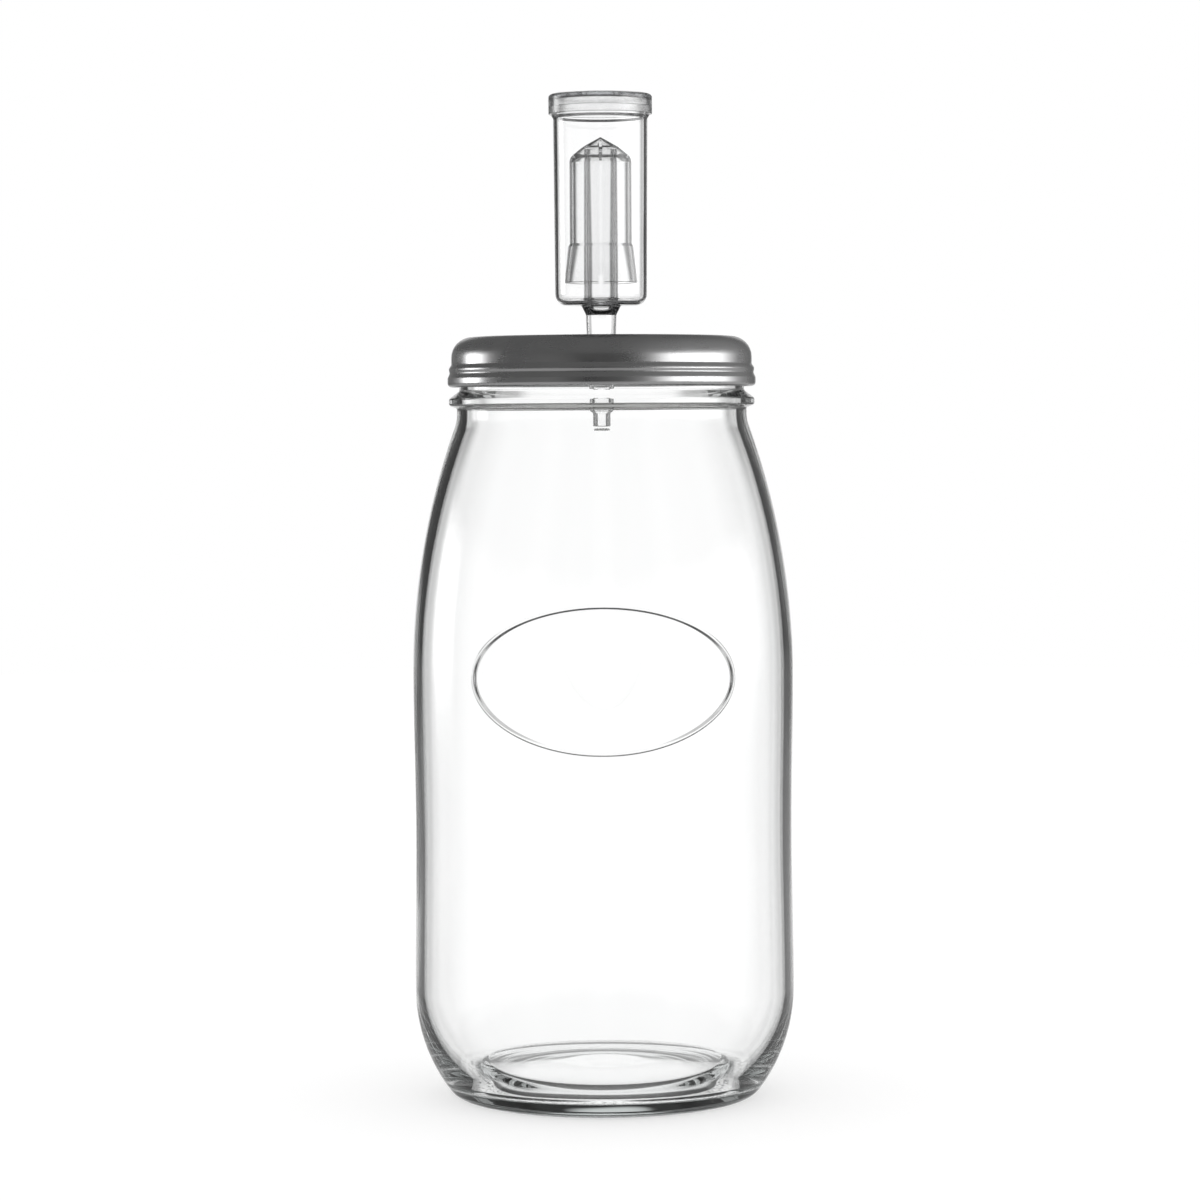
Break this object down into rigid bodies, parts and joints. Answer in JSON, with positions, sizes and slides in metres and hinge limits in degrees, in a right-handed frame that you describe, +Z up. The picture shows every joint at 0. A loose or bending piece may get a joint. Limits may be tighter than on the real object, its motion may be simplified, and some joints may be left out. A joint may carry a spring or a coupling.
{
  "type": "fermentation jar with airlock",
  "caption": "Tall clear glass fermentation jar with a twist-off steel lid and a clear water airlock that lets gas out and keeps air from getting in.",
  "frame": {"origin": "centre of the jar's base on the table", "axes": "+Z up along the jar's axis; -Y towards the picture's camera"},
  "size_m": [0.14, 0.14, 0.3688],
  "materials": {
    "jar_glass": "clear, fire polished",
    "lid_steel": "satin",
    "white_silicone": "matte",
    "grey_silicone": "matte",
    "clear_plastic": "clear, moulded"
  },
  "bodies": {
    "jar": {"glass_jar": "jar_glass"},
    "seal": {"lid_gasket": "white_silicone"},
    "lid": {"lid": "lid_steel", "lid_grommet": "grey_silicone"},
    "airlock": {"airlock_body": "clear_plastic"},
    "bobber": {"airlock_bobber": "clear_plastic"},
    "cap": {"airlock_cap": "clear_plastic"}
  },
  "joints": [
    {"name": "lid_lift", "type": "slide", "parent": "jar", "child": "seal", "axis": [0, 0, 1], "range_m": [0, 0.06]},
    {"name": "lid_turn", "type": "hinge", "parent": "seal", "child": "lid", "pos_m": [0, 0, 0.2709], "axis": [0, 0, 1], "range_deg": [0, 45]},
    {"name": "airlock_pull", "type": "slide", "parent": "lid", "child": "airlock", "axis": [0, 0, 1], "range_m": [0, 0.05]},
    {"name": "bobber_float", "type": "slide", "parent": "airlock", "child": "bobber", "axis": [0, 0, 1], "range_m": [0, 0.012]},
    {"name": "cap_lift", "type": "slide", "parent": "airlock", "child": "cap", "axis": [0, 0, 1], "range_m": [0, 0.03]}
  ]
}
